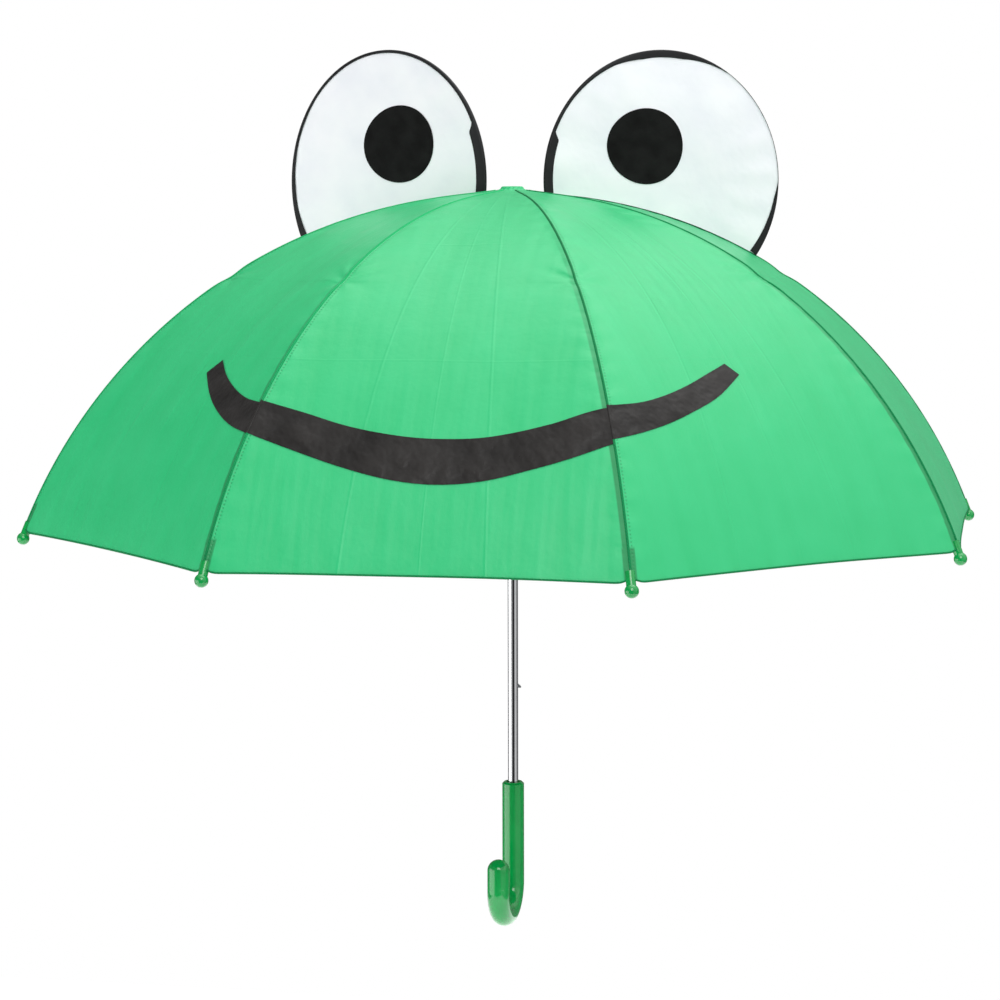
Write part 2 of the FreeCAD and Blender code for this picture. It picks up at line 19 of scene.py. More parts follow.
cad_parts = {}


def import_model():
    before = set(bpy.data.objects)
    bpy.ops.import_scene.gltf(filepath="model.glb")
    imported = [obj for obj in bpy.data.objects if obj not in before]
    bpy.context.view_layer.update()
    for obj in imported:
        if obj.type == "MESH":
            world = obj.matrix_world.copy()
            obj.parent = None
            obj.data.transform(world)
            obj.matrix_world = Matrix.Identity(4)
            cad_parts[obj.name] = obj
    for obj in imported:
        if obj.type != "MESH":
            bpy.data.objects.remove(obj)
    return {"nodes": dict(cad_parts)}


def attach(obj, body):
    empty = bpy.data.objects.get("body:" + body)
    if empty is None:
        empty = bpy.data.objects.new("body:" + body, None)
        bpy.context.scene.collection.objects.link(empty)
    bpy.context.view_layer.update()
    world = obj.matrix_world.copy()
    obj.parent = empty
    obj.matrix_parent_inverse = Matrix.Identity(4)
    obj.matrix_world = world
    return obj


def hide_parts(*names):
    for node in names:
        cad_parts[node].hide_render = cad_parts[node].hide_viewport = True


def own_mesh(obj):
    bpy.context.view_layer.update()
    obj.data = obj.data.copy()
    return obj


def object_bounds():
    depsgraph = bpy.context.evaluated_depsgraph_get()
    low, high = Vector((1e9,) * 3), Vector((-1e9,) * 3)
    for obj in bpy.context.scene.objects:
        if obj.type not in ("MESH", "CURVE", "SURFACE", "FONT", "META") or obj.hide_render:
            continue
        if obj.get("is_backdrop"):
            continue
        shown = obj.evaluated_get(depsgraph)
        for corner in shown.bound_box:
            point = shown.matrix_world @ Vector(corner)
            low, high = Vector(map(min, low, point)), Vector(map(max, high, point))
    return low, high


MM = 0.001
PANELS = 8
PANEL_STEP = 360.0 / PANELS
HALF_PANEL = math.radians(PANEL_STEP / 2)
CROWN_HEIGHT = 500.0 * MM
# The step, as a share of a sheet's side, over which its slope is measured.
STRIDE = 1e-4
SKIRT_KEEP = 0.17
# Painted shade on each rib's seam at the crown and at the hem: how dark it is drawn, by how light
# falls on that rib's rolled seam.
SEAM_PAINTED_SHADES = {1: (0.4, 0.8), 2: (0.15, 1.0), 3: (1.0, 0.9), 4: (0.8, 0.9)}
PLAIN_PAINTED_SHADE = (0.7, 0.9)
# The raised arch of a seam: how round it is and how far its foot is sunk.
SEAM_ARCH = 1.15
SEAM_SINK = 0.3
# Where a tie pulls the cloth down at a rib: how deep, and how far along and beside it.
TIE_DEPTH = 1.3 * MM
TIE_SPREAD = 9 * MM
TIE_WIDTH = 10 * MM
Place = Callable[[float, float], Vector]
Fact = Callable[[float, float], float]
Colour = tuple[float, float, float]

logging.basicConfig(level=logging.INFO, format="%(message)s")
log = logging.getLogger("umbrella")


def clamp(value: float, low: float = 0.0, high: float = 1.0) -> float:
    """Returns value held between low and high."""
    return max(low, min(high, value))


def lerp(a: float, b: float, t: float) -> float:
    """Returns the value t of the way from a to b."""
    return a + (b - a) * t


def ease(t: float) -> float:
    """Returns a smooth step from 0 to 1 as t goes from 0 to 1."""
    t = clamp(t)
    return t * t * (3 - 2 * t)


def hump(distance: float, width: float) -> float:
    """Returns a bell that is 1 at no distance and fades over width."""
    return math.exp(-((distance / width) ** 2))


def straight_through(stations: Sequence[tuple[float, float]], x: float) -> float:
    """Reads a broken line.

    Args:
        stations: pairs of position and value, in rising order.
        x: the position to read at.

    Returns:
        The value at x, held at the end values outside the stations.
    """
    for (x0, y0), (x1, y1) in zip(stations, stations[1:]):
        if x <= x1:
            return lerp(y0, y1, clamp((x - x0) / (x1 - x0)))
    return stations[-1][1]


def smooth_through(stations: Sequence[tuple[float, float]], x: float) -> float:
    """Reads a smooth curve through its stations.

    Args:
        stations: pairs of position and value, in rising order.
        x: the position to read at.

    Returns:
        The value at x on a cubic curve that passes through every station.
    """
    last = len(stations) - 1
    i = next((n for n in range(last) if x <= stations[n + 1][0]), last - 1)

    def slope(n: int) -> float:
        """Returns the curve's slope at station n."""
        a, b = stations[max(n - 1, 0)], stations[min(n + 1, last)]
        return (b[1] - a[1]) / (b[0] - a[0])

    (x0, y0), (x1, y1) = stations[i], stations[i + 1]
    step = x1 - x0
    t = clamp((x - x0) / step)
    return (
        y0 * (1 + 2 * t) * (1 - t) ** 2
        + y1 * t * t * (3 - 2 * t)
        + step * t * (1 - t) * (slope(i) * (1 - t) - slope(i + 1) * t)
    )


class Value:
    """A number that varies over a surface; arithmetic on it adds Math nodes."""

    def __init__(self, recipe: "Recipe", socket: bpy.types.NodeSocket) -> None:
        """Wraps one output socket of a recipe's node."""
        self.recipe = recipe
        self.socket = socket

    def math(self, operation: str, *others: "Value | float", held: bool = False) -> "Value":
        """Adds a Math node.

        Args:
            operation: the Math node's operation.
            others: its second and third inputs.
            held: True keeps the result between 0 and 1.

        Returns:
            The node's result.
        """
        feeds = dict(enumerate((self, *others)))
        return self.recipe.node(
            "ShaderNodeMath", {"operation": operation, "use_clamp": held}, feeds
        )

    def __add__(self, other: "Value | float") -> "Value":
        """Adds."""
        return self.math("ADD", other)

    __radd__ = __add__

    def __mul__(self, other: "Value | float") -> "Value":
        """Multiplies."""
        return self.math("MULTIPLY", other)

    def __sub__(self, other: "Value | float") -> "Value":
        """Subtracts."""
        return self.math("SUBTRACT", other)

    def __rsub__(self, other: float) -> "Value":
        """Subtracts this value from a plain number."""
        return (self * -1.0) + other

    def __truediv__(self, other: "Value | float") -> "Value":
        """Divides."""
        return self.math("DIVIDE", other)

    def __rtruediv__(self, other: float) -> "Value":
        """Divides a plain number by this value."""
        return self.math("POWER", -1.0) * other

    def near(self, centre: float, width: "Value | float") -> "Value":
        """Returns 1 at centre, falling straight to 0 at width away from it."""
        off = (self - centre).math("ABSOLUTE") / width
        return (1.0 - off).math("ADD", 0.0, held=True)

    def rise(self, start: float, end: float) -> "Value":
        """Returns a ramp from 0 at start to 1 at end."""
        return ((self - start) / (end - start)).math("ADD", 0.0, held=True)


class Recipe:
    """A node material being put together."""

    def __init__(self, name: str) -> None:
        """Starts a material with only its output."""
        self.material = bpy.data.materials.new(name)
        self.material.use_nodes = True
        self.tree = self.material.node_tree
        self.tree.nodes.clear()
        self.output = self.tree.nodes.new("ShaderNodeOutputMaterial")

    def feed(self, socket: bpy.types.NodeSocket, value: "Value | float | Colour") -> None:
        """Links a value to a socket, or sets a plain one on it.

        Args:
            socket: the input to feed.
            value: a varying value, a number or a colour.
        """
        if isinstance(value, Value):
            self.tree.links.new(value.socket, socket)
        elif isinstance(value, tuple) and socket.type == "RGBA":
            socket.default_value = (*value, 1.0)
        else:
            socket.default_value = value

    def node(
        self, kind: str, settings: dict | None = None, feeds: dict | None = None,
        result: str | int = 0,
    ) -> Value:
        """Adds one node.

        Args:
            kind: the node's type.
            settings: its properties, set before anything is linked.
            feeds: values or links for its sockets, by name or number.
            result: the output to return.

        Returns:
            The chosen output.
        """
        made = self.tree.nodes.new(kind)
        for key, value in (settings or {}).items():
            setattr(made, key, value)
        for key, value in (feeds or {}).items():
            self.feed(made.inputs[key], value)
        return Value(self, made.outputs[result])

    def attribute(self, name: str) -> Value:
        """Returns a number stored on the mesh."""
        return self.node("ShaderNodeAttribute", {"attribute_name": name}, None, "Fac")

    def position(self) -> tuple[Value, Value, Value]:
        """Reads where on the object a point is.

        Returns:
            The point's X, Y and Z.
        """
        where = self.node("ShaderNodeTexCoord", None, None, "Object")
        split = self.node("ShaderNodeSeparateXYZ", None, {0: where}).socket.node
        return tuple(Value(self, socket) for socket in split.outputs)

    def vector(self, x: "Value | float", y: "Value | float", z: "Value | float") -> Value:
        """Returns three numbers as one vector."""
        return self.node("ShaderNodeCombineXYZ", None, {0: x, 1: y, 2: z})

    def noise(self, where: Value, scale: float, detail: float = 2.0) -> Value:
        """Returns noise around 0.5, scale grains to a unit of where, with detail octaves."""
        feeds = {"Vector": where, "Scale": scale, "Detail": detail}
        return self.node("ShaderNodeTexNoise", None, feeds, "Fac")

    def mix(self, share: "Value | float", a: "Value | Colour", b: "Value | Colour") -> Value:
        """Returns colour a turned into colour b by share."""
        feeds = {0: share, 6: a, 7: b}
        return self.node("ShaderNodeMix", {"data_type": "RGBA"}, feeds, 2)

    def principled(self, feeds: dict, height: Value | None = None) -> Value:
        """Adds the surface shader.

        Args:
            feeds: its sockets by name.
            height: relief in metres, or None.

        Returns:
            The shader's output.
        """
        if height is not None:
            bump = {"Height": height, "Strength": 1.0, "Distance": 1.0}
            feeds = {**feeds, "Normal": self.node("ShaderNodeBump", None, bump)}
        return self.node("ShaderNodeBsdfPrincipled", None, feeds)

    def finish(self, shader: Value) -> bpy.types.Material:
        """Links the shader to the output and returns the material."""
        self.tree.links.new(shader.socket, self.output.inputs["Surface"])
        return self.material


@dataclass(frozen=True)
class CanopyCloth:
    """Thin green woven polyester with fold creases, seam allowances and stitching."""

    name: str = "green_polyester"
    base: Colour = (0.0026, 0.43, 0.137)
    # pale is the tone painted onto raised wrinkles and fold ridges, as painted light.
    pale: Colour = (0.027, 0.515, 0.2)
    # deep is the stitch thread's colour, also painted over the doubled cloth as painted shade.
    deep: Colour = (0.0, 0.2, 0.055)
    thread_pitch: float = 0.45 * MM
    thread_height: float = 0.006 * MM
    stitch_pitch: float = 2.6 * MM
    stitch_from_seam: float = 2.6 * MM
    long_folds: tuple[tuple[float, float], ...] = ((-0.36, 1.4), (0.33, 1.4), (0.02, 1.0))
    cross_folds: tuple[float, float] = (168.0 * MM, 305.0 * MM)
    allowance_width: float = 4.0 * MM
    allowance_grows: tuple[float, float] = (120 * MM, 360 * MM)
    pocket_width: float = 4.6 * MM
    pocket_start: float = 447.0 * MM
    pull_height: float = 0.9 * MM
    crumple_height: float = 1.0 * MM
    fold_height: float = 0.14 * MM
    cross_fold_height: float = 0.05 * MM
    pucker_height: float = 0.8 * MM
    pucker_reach: float = 9.0 * MM
    stitch_depth: float = 0.3 * MM

    def weave(self, recipe: Recipe, x: Value, y: Value) -> Value:
        """Returns the relief of the threads, in metres."""
        turns = 2 * math.pi / self.thread_pitch
        return ((x * turns).math("SINE") + (y * turns).math("SINE")) * self.thread_height

    def make(self) -> bpy.types.Material:
        """Mixes the cloth's tone and relief from its place on the gore.

        Returns:
            The material.
        """
        recipe = Recipe(self.name)
        across = recipe.attribute("across")
        half_width = recipe.attribute("half_width")
        down = recipe.attribute("down")
        panel = recipe.attribute("panel")
        x = across * half_width
        to_next = (1.0 - across) * half_width
        to_last = (1.0 + across) * half_width
        pull = recipe.noise(recipe.vector(x * 60.0, down * 5.0, panel * 3.0), 1.0, 2.0)
        crumple = recipe.noise(recipe.vector(x * 30.0, down * 26.0, panel * 5.0), 1.0, 4.0)
        left, right, middle = (
            across.near(at, width * MM / half_width) for at, width in self.long_folds
        )
        folds = left + right + middle * 0.6
        upper, lower = (down.near(at, 1.2 * MM) for at in self.cross_folds)
        cross_folds = upper + lower
        seam_side = to_last.near(self.stitch_from_seam, 0.9 * MM)
        dash = (down / self.stitch_pitch).math("FRACT").near(0.5, 0.38)
        stitches = seam_side * dash
        pucker = recipe.noise(recipe.vector(x * 8.0, down * 150.0, panel), 1.0, 1.0)
        beside = to_last.near(0.0, self.pucker_reach) + to_next.near(0.0, self.pucker_reach)
        height = (
            (pull - 0.5) * self.pull_height
            + (crumple - 0.5) * self.crumple_height
            + folds * self.fold_height
            + cross_folds * self.cross_fold_height
            + (pucker - 0.5) * beside * self.pucker_height
            - stitches * self.stitch_depth
            + self.weave(recipe, x, down)
        )
        # Beside the next rib and over the rib's pocket near the hem the cloth is painted darker,
        # fading in down the rib: painted shade of the rib and the second layer seen through the
        # thin cloth.
        soft = 0.4 * MM
        allowance = (
            1.0 - to_next.rise(self.allowance_width - soft, self.allowance_width + soft)
        ) * down.rise(*self.allowance_grows)
        to_rib = to_next.math("MINIMUM", to_last)
        pocket = (
            1.0 - to_rib.rise(self.pocket_width - soft, self.pocket_width + soft)
        ) * down.rise(self.pocket_start - 1 * MM, self.pocket_start + 1 * MM)
        doubled_cloth_shade = allowance.math("MAXIMUM", pocket)
        # The tone follows the relief: paler where the pull and crumple noise lifts the cloth and
        # along the fold ridges, painted light and shade on the wrinkles.
        tone = recipe.mix((crumple * 0.7 + pull * 0.6 - 0.15) * 0.8, self.base, self.pale)
        tone = recipe.mix(folds * 0.1, tone, self.pale)
        tone = recipe.mix(doubled_cloth_shade * 0.84, tone, self.deep)
        tone = recipe.mix(stitches * 0.85, tone, self.deep)
        shader = recipe.principled(
            {
                "Base Color": tone,
                "Roughness": crumple * 0.12 + 0.38,
                "Specular IOR Level": 0.55,
                "Sheen Weight": 0.06,
                "Sheen Roughness": 0.4,
                "Sheen Tint": (0.75, 1.0, 0.85),
            },
            height,
        )
        return recipe.finish(shader)


@dataclass(frozen=True)
class SatinCloth:
    """Closely woven satin, for the eyes, their binding and the mouth."""

    name: str
    base: Colour
    # shade is the colour painted into the crease hollows, as painted shade.
    shade: Colour
    roughness: float = 0.38
    relief: float = 0.7
    coarse: float = 26.0
    sheen: float = 0.2
    gloss: float = 0.5
    thread_pitch: float = 0.5 * MM
    thread_height: float = 0.005 * MM
    crease_height: float = 2.2 * MM
    grain_height: float = 0.1 * MM

    def make(self) -> bpy.types.Material:
        """Mixes the satin's tone, gloss and creases.

        Returns:
            The material.
        """
        recipe = Recipe(self.name)
        x, y, z = recipe.position()
        where = recipe.vector(x + z * 0.6, y, z - x * 0.4)
        folds = recipe.noise(where, self.coarse, 3.0)
        fine = recipe.noise(where, self.coarse * 9.0, 2.0)
        turns = 2 * math.pi / self.thread_pitch
        threads = ((x * turns).math("SINE") + (z * turns).math("SINE")) * self.thread_height
        creases = (folds - 0.5) * (self.crease_height * self.relief)
        height = creases + (fine - 0.5) * self.grain_height + threads
        # Darker in the crease hollows and paler on their ridges, from the same noise as the
        # creases: painted shade and light.
        tone = recipe.mix(folds.rise(0.32, 0.68), self.shade, self.base)
        shader = recipe.principled(
            {
                "Base Color": tone,
                "Roughness": fine * 0.16 + (self.roughness - 0.08),
                "Specular IOR Level": self.gloss,
                "Sheen Weight": self.sheen,
                "Sheen Roughness": 0.35,
            },
            height,
        )
        return recipe.finish(shader)


@dataclass(frozen=True)
class SeamCloth:
    """The tightly rolled cloth of seams, hems and the strap's edges."""

    name: str = "rolled_seam"
    # pale is the seam's colour where it is drawn lit: painted light.
    pale: Colour = (0.01, 0.46, 0.15)
    base: Colour = (0.0, 0.2, 0.06)
    thread: Colour = (0.0, 0.11, 0.03)
    stitch_pitch: float = 2.6 * MM
    stitch_height: float = 0.12 * MM
    bump_height: float = 0.15 * MM

    def make(self) -> bpy.types.Material:
        """Mixes the seam's tone from its stitches and from the painted shade stored on its mesh.

        Returns:
            The material.
        """
        recipe = Recipe(self.name)
        x, y, z = recipe.position()
        turns = 2 * math.pi / self.stitch_pitch
        pull = ((z * turns) + (x * turns) + (y * turns)).math("SINE") * 0.5 + 0.5
        cloudy = recipe.noise(recipe.vector(x, y, z), 90.0, 3.0)
        tone = recipe.mix(pull * 0.45 + cloudy * 0.3, self.base, self.thread)
        # The stored painted shade takes the seam from pale to dark: painted light and shade, set
        # rib by rib.
        tone = recipe.mix(recipe.attribute("shade"), self.pale, tone)
        feeds = {
            "Base Color": tone,
            "Roughness": cloudy * 0.2 + 0.45,
            "Specular IOR Level": 0.15,
        }
        height = pull * self.stitch_height + (cloudy - 0.5) * self.bump_height
        return recipe.finish(recipe.principled(feeds, height))


@dataclass(frozen=True)
class MouldedPlastic:
    """Moulded plastic with a faint orange-peel surface."""

    name: str
    base: Colour
    shade: Colour
    roughness: float = 0.14
    coat: float = 0.6
    peel_height: float = 0.007 * MM

    def make(self) -> bpy.types.Material:
        """Mixes the plastic's tone, scuffs and peel.

        Returns:
            The material.
        """
        recipe = Recipe(self.name)
        where = recipe.vector(*recipe.position())
        cloudy = recipe.noise(where, 38.0, 2.0)
        peel = recipe.noise(where, 420.0, 2.0)
        scuffs = recipe.noise(where, 160.0, 5.0).rise(0.6, 0.72)
        feeds = {
            "Base Color": recipe.mix(cloudy.rise(0.3, 0.7), self.shade, self.base),
            "Roughness": scuffs * 0.14 + cloudy * 0.05 + self.roughness,
            "Coat Weight": self.coat,
            "Coat Roughness": 0.06,
        }
        return recipe.finish(recipe.principled(feeds, (peel - 0.5) * self.peel_height))


@dataclass(frozen=True)
class Steel:
    """Plated or drawn steel with streaks along the shaft's direction."""

    name: str
    base: Colour
    shade: Colour
    roughness: float
    streak: float = 600.0
    painted_reflection: bool = False
    streak_height: float = 0.006 * MM
    # The painted reflection line down a tube's front: the way across it, its groove's depth and its
    # colour.
    reflection_line_way: tuple[float, float] = (0.979, 0.202)
    reflection_groove_depth: float = 0.12 * MM
    painted_reflection_colour: Colour = (0.02, 0.02, 0.025)

    def make(self) -> bpy.types.Material:
        """Mixes the steel's streaks and spots, and on a tube a dark line down its front, turned to
        the camera: a painted reflection over a shallow groove.

        Returns:
            The material.
        """
        recipe = Recipe(self.name)
        x, y, z = recipe.position()
        streaks = recipe.noise(recipe.vector(x * self.streak, y * self.streak, z * 6.0), 1.0, 3.0)
        spots = recipe.noise(recipe.vector(x, y, z), 240.0, 4.0).rise(0.56, 0.7)
        tone = recipe.mix(streaks * 0.6 + spots * 0.3, self.base, self.shade)
        height = (streaks - 0.5) * self.streak_height
        if self.painted_reflection:
            # A dark line down the front, facing the camera: a painted reflection, with a shallow
            # groove bumped under it.
            aside = x * self.reflection_line_way[0] + y * self.reflection_line_way[1]
            in_front = (y * -1.0).rise(0.0, 0.5 * MM)
            painted_reflection_line = aside.near(0.3 * MM, 1.1 * MM).rise(0.2, 0.5) * in_front
            tone = recipe.mix(painted_reflection_line * 0.95, tone, self.painted_reflection_colour)
            height = height - painted_reflection_line * self.reflection_groove_depth
        feeds = {
            "Base Color": tone,
            "Metallic": 1.0,
            "Roughness": streaks * 0.08 + spots * 0.1 + self.roughness,
        }
        return recipe.finish(recipe.principled(feeds, height))


class Finish(Enum):
    """The umbrella's finishes."""

    CANOPY = CanopyCloth()
    SEAM = SeamCloth()
    EYE_WHITE = SatinCloth(
        "eye_satin", (0.97, 0.95, 1.0), (0.89, 0.88, 0.95),
        roughness=0.4, relief=0.6, coarse=24.0,
    )
    EYE_BLACK = SatinCloth(
        "binding_satin", (0.014, 0.014, 0.016), (0.006, 0.006, 0.007),
        roughness=0.5, relief=0.5, sheen=0.05, gloss=0.25,
    )
    PUPIL = SatinCloth(
        "pupil_print", (0.012, 0.012, 0.012), (0.006, 0.006, 0.006),
        roughness=0.6, relief=0.3, coarse=60.0, sheen=0.0, gloss=0.06,
    )
    MOUTH = SatinCloth(
        "mouth_print", (0.026, 0.024, 0.023), (0.013, 0.012, 0.0115),
        roughness=0.32, relief=1.9, coarse=34.0, sheen=0.0, gloss=0.16,
    )
    GREEN_PLASTIC = MouldedPlastic(
        "green_moulding", (0.001, 0.31, 0.062), (0.0, 0.26, 0.05), roughness=0.12, coat=0.35
    )
    DARK_PLASTIC = MouldedPlastic(
        "dark_moulding", (0.02, 0.021, 0.022), (0.012, 0.012, 0.013), roughness=0.4, coat=0.0
    )
    CHROME = Steel(
        "chromed_tube_steel", (0.82, 0.83, 0.84), (0.62, 0.63, 0.65),
        roughness=0.07, streak=900.0, painted_reflection=True,
    )
    SNAP = Steel("snap_steel", (0.8, 0.8, 0.8), (0.6, 0.6, 0.62), roughness=0.12)
    RIB = Steel("rib_steel_plate", (0.6, 0.61, 0.63), (0.36, 0.37, 0.4), roughness=0.26)
    WIRE = Steel("drawn_wire", (0.62, 0.62, 0.62), (0.4, 0.4, 0.42), roughness=0.3)
    SPRING = Steel("rolled_spring", (0.5, 0.5, 0.53), (0.3, 0.3, 0.33), roughness=0.22)


class Dyer:
    """Makes each finish once and hands it to pieces."""

    def __init__(self) -> None:
        """Starts with nothing made."""
        self.made: dict[Finish, bpy.types.Material] = {}

    def material(self, finish: Finish) -> bpy.types.Material:
        """Finds a finish's material, and makes it on first use.

        Args:
            finish: the finish wanted.

        Returns:
            Its material.
        """
        if finish not in self.made:
            self.made[finish] = finish.value.make()
        return self.made[finish]

    def dress(self, piece: bpy.types.Object, finish: Finish) -> None:
        """Gives a piece its finish."""
        piece.data.materials.append(self.material(finish))


def outward_normal(place: Place, u: float, v: float) -> Vector:
    """Works out the true normal of a placed sheet.

    Args:
        place: where the sheet's points lie.
        u: the point's share along the sheet's width.
        v: its share along the sheet's length.

    Returns:
        The unit normal on the outer side.
    """
    along_u = place(u + STRIDE, v) - place(u - STRIDE, v)
    along_v = place(u, v + STRIDE) - place(u, v - STRIDE)
    return along_v.cross(along_u).normalized()


def sheet_piece(
    name: str, columns: int, rows: int, place: Place,
    facts: dict[str, Fact] | None = None,
    flip: bool = False,
) -> bpy.types.Object:
    """Makes a piece of cloth from a flat grid laid over a surface.

    Args:
        name: the piece's name.
        columns: cells along u.
        rows: cells along v.
        place: where the grid's point (u, v), each from 0 to 1, lies.
        facts: numbers to store at each point, by name.
        flip: True turns the outer side round.

    Returns:
        The new object, smooth shaded, with the surface's own normals.
    """
    mesh_maker = bmesh.new()
    bmesh.ops.create_grid(mesh_maker, x_segments=columns, y_segments=rows, size=0.5)
    layers = {key: mesh_maker.verts.layers.float.new(key) for key in facts or {}}
    normals = []
    for vert in mesh_maker.verts:
        u, v = vert.co.x + 0.5, vert.co.y + 0.5
        for key, layer in layers.items():
            vert[layer] = facts[key](u, v)
        normals.append(outward_normal(place, u, v) * (-1 if flip else 1))
        vert.co = place(u, v)
    if not flip:
        bmesh.ops.reverse_faces(mesh_maker, faces=mesh_maker.faces)
    piece = finished(name, mesh_maker)
    piece.data.normals_split_custom_set_from_vertices(normals)
    return piece


def finished(name: str, mesh_maker: bmesh.types.BMesh) -> bpy.types.Object:
    """Turns a bmesh into a smooth object at the origin.

    Args:
        name: the piece's name.
        mesh_maker: its mesh, which is freed.

    Returns:
        The new object.
    """
    for face in mesh_maker.faces:
        face.smooth = True
    mesh = bpy.data.meshes.new(name)
    mesh_maker.to_mesh(mesh)
    mesh_maker.free()
    piece = bpy.data.objects.new(name, mesh)
    bpy.context.scene.collection.objects.link(piece)
    return piece


@dataclass(frozen=True)
class CanopyForm:
    """The curved surface that the stretched cloth follows.

    A rib is an arc that starts at the hub, with its centre drop above the crown's top.
    """

    arc: float = 396.0 * MM
    hub: float = 4.24 * MM
    drop: float = -401.0 * MM
    start: float = math.radians(0.4)
    split: float = 223.0 * MM
    hem_at_rib: float = 470.5 * MM
    scallop: float = 1.8 * MM
    notch: float = 2.8 * MM
    tie: float = 220.0 * MM
    notch_reach: float = 5.5 * MM
    crown_rise: float = 3.2 * MM
    crown_reach: float = 17.0 * MM
    sag_depth: float = 1.5 * MM
    sag_reach: float = 120.0 * MM
    pleat_height: float = 0.45 * MM
    pleat_ring: tuple[float, float] = (14.0 * MM, 16.0 * MM)
    ripple_height: float = 0.28 * MM
    ripple_length: float = 3.1 * MM
    ripple_reach: float = 13.0 * MM
    slack_height: float = 0.55 * MM
    slack_length: float = 52.0 * MM
    slack_reach: float = 90.0 * MM
    seam_half_width: float = 0.9 * MM
    seam_height: float = 0.75 * MM

    def ring(self, down: float) -> tuple[float, float]:
        """Follows the rib line.

        Args:
            down: distance from the crown along the rib.

        Returns:
            The radius from the shaft and the height.
        """
        turn = self.start + down / self.arc
        radius = self.hub + self.arc * math.sin(turn)
        rise = self.crown_rise * math.exp(-max(down, 0.0) / self.crown_reach)
        return radius, CROWN_HEIGHT + self.drop + self.arc * math.cos(turn) + rise

    def half_width(self, down: float) -> float:
        """Returns half a panel's width at a distance down the ribs."""
        return math.sin(HALF_PANEL) * self.ring(down)[0]

    def hem(self, across: float) -> float:
        """Finds the hem, which rises mid-panel and is notched at the ribs.

        Args:
            across: -1 to 1 between the panel's ribs.

        Returns:
            The hem's distance down the panel.
        """
        edge = (1 - abs(across)) * self.half_width(self.hem_at_rib)
        rise = self.scallop * (1 - across * across)
        return self.hem_at_rib - (rise + self.notch * hump(edge, self.notch_reach))

    def relief(self, panel: int, across: float, down: float) -> float:
        """Works out how far the cloth stands off the straight chord between its ribs.

        Args:
            panel: the panel's number.
            across: -1 to 1 between the panel's ribs.
            down: distance down the ribs.

        Returns:
            The rise in metres, below 0 where the cloth sinks in.
        """
        half = self.half_width(down)
        edge = (1 - abs(across)) * half
        room = ease(edge / (6 * MM))
        sag = -self.sag_depth * (1 - across * across) * ease(down / self.sag_reach)
        dimple = -TIE_DEPTH * hump(edge, TIE_WIDTH) * hump(down - self.tie, TIE_SPREAD)
        spread = math.atan2(down - self.tie, edge + 2 * MM)
        ring, ring_width = self.pleat_ring
        pleats = self.pleat_height * math.sin(7 * spread + panel) * hump(
            math.hypot(edge, down - self.tie) - ring, ring_width
        )
        puckers = math.sin(down / self.ripple_length + 2.1 * panel)
        ripple = self.ripple_height * puckers * hump(edge, self.ripple_reach)
        slack = self.slack_height * math.sin(5.5 * across + 1.3 * panel) * math.sin(
            down / self.slack_length + 0.8 * panel
        )
        return sag + dimple + (pleats + ripple + slack * ease(down / self.slack_reach)) * room

    def spot(self, panel: int, across: float, down: float, lift: float = 0.0) -> Vector:
        """Finds a point on the cloth.

        Args:
            panel: the panel's number, from 1.
            across: -1 to 1 between the panel's ribs.
            down: distance down the ribs in metres.
            lift: height above the cloth.

        Returns:
            The point.
        """
        radius, height = self.ring(down)
        turn = self.start + down / self.arc
        rise = self.relief(panel, across, down) + lift
        out = math.cos(HALF_PANEL) * radius + rise * math.sin(turn)
        return place_round(panel_turn(panel), out, across * math.sin(HALF_PANEL) * radius,
                           height + rise * math.cos(turn))


def panel_turn(panel: int) -> float:
    """Returns the heading of a panel's middle in radians; the front one is 0."""
    return math.radians(90.0 - PANEL_STEP * panel)


def rib_turn(rib: int) -> float:
    """Returns a rib's heading in radians."""
    return panel_turn(rib) + HALF_PANEL


def place_round(turn: float, out: float, aside: float, height: float) -> Vector:
    """Places a point by its heading from the shaft.

    Args:
        turn: the heading in radians; 0 faces the front.
        out: the distance along the heading.
        aside: the distance across it.
        height: the height.

    Returns:
        The point.
    """
    return Vector((
        -out * math.sin(turn) + aside * math.cos(turn),
        -out * math.cos(turn) - aside * math.sin(turn),
        height,
    ))


def crumple_to(piece: bpy.types.Object, turn: float, keep: float) -> None:
    """Gives a piece its own copy of its mesh."""
    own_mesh(piece)


def seam_piece(
    name: str, form: CanopyForm, rib: int, start: float, end: float, swell: float = 0.0
) -> bpy.types.Object:
    """Makes a length of raised seam over a rib.

    Args:
        name: the piece's name.
        form: the canopy's surface.
        rib: the rib's number.
        start: where the length begins, down from the crown.
        end: where it ends.
        swell: how much fatter than the plain seam it is.

    Returns:
        The piece.
    """

    def place(u: float, v: float) -> Vector:
        """Returns the point over the rib line."""
        reach = lerp(start, end, v)
        radius, height = form.ring(reach)
        turn = form.start + reach / form.arc
        bow = math.pi * (u - 0.5)
        dip = -TIE_DEPTH * hump(reach - form.tie, TIE_SPREAD)
        rise = form.seam_height * (SEAM_ARCH * math.cos(bow) - SEAM_SINK) + dip + swell
        aside = (form.seam_half_width + swell) * math.sin(bow)
        return place_round(rib_turn(rib), radius + rise * math.sin(turn), aside,
                           height + rise * math.cos(turn))

    def shade(u: float, v: float) -> float:
        """Returns how dark the seam is painted here, as painted shade."""
        share = clamp(lerp(start, end, v) / form.hem_at_rib)
        return lerp(*SEAM_PAINTED_SHADES.get(rib, PLAIN_PAINTED_SHADE), share**2)

    return sheet_piece(name, 6, 90, place, {"shade": shade})


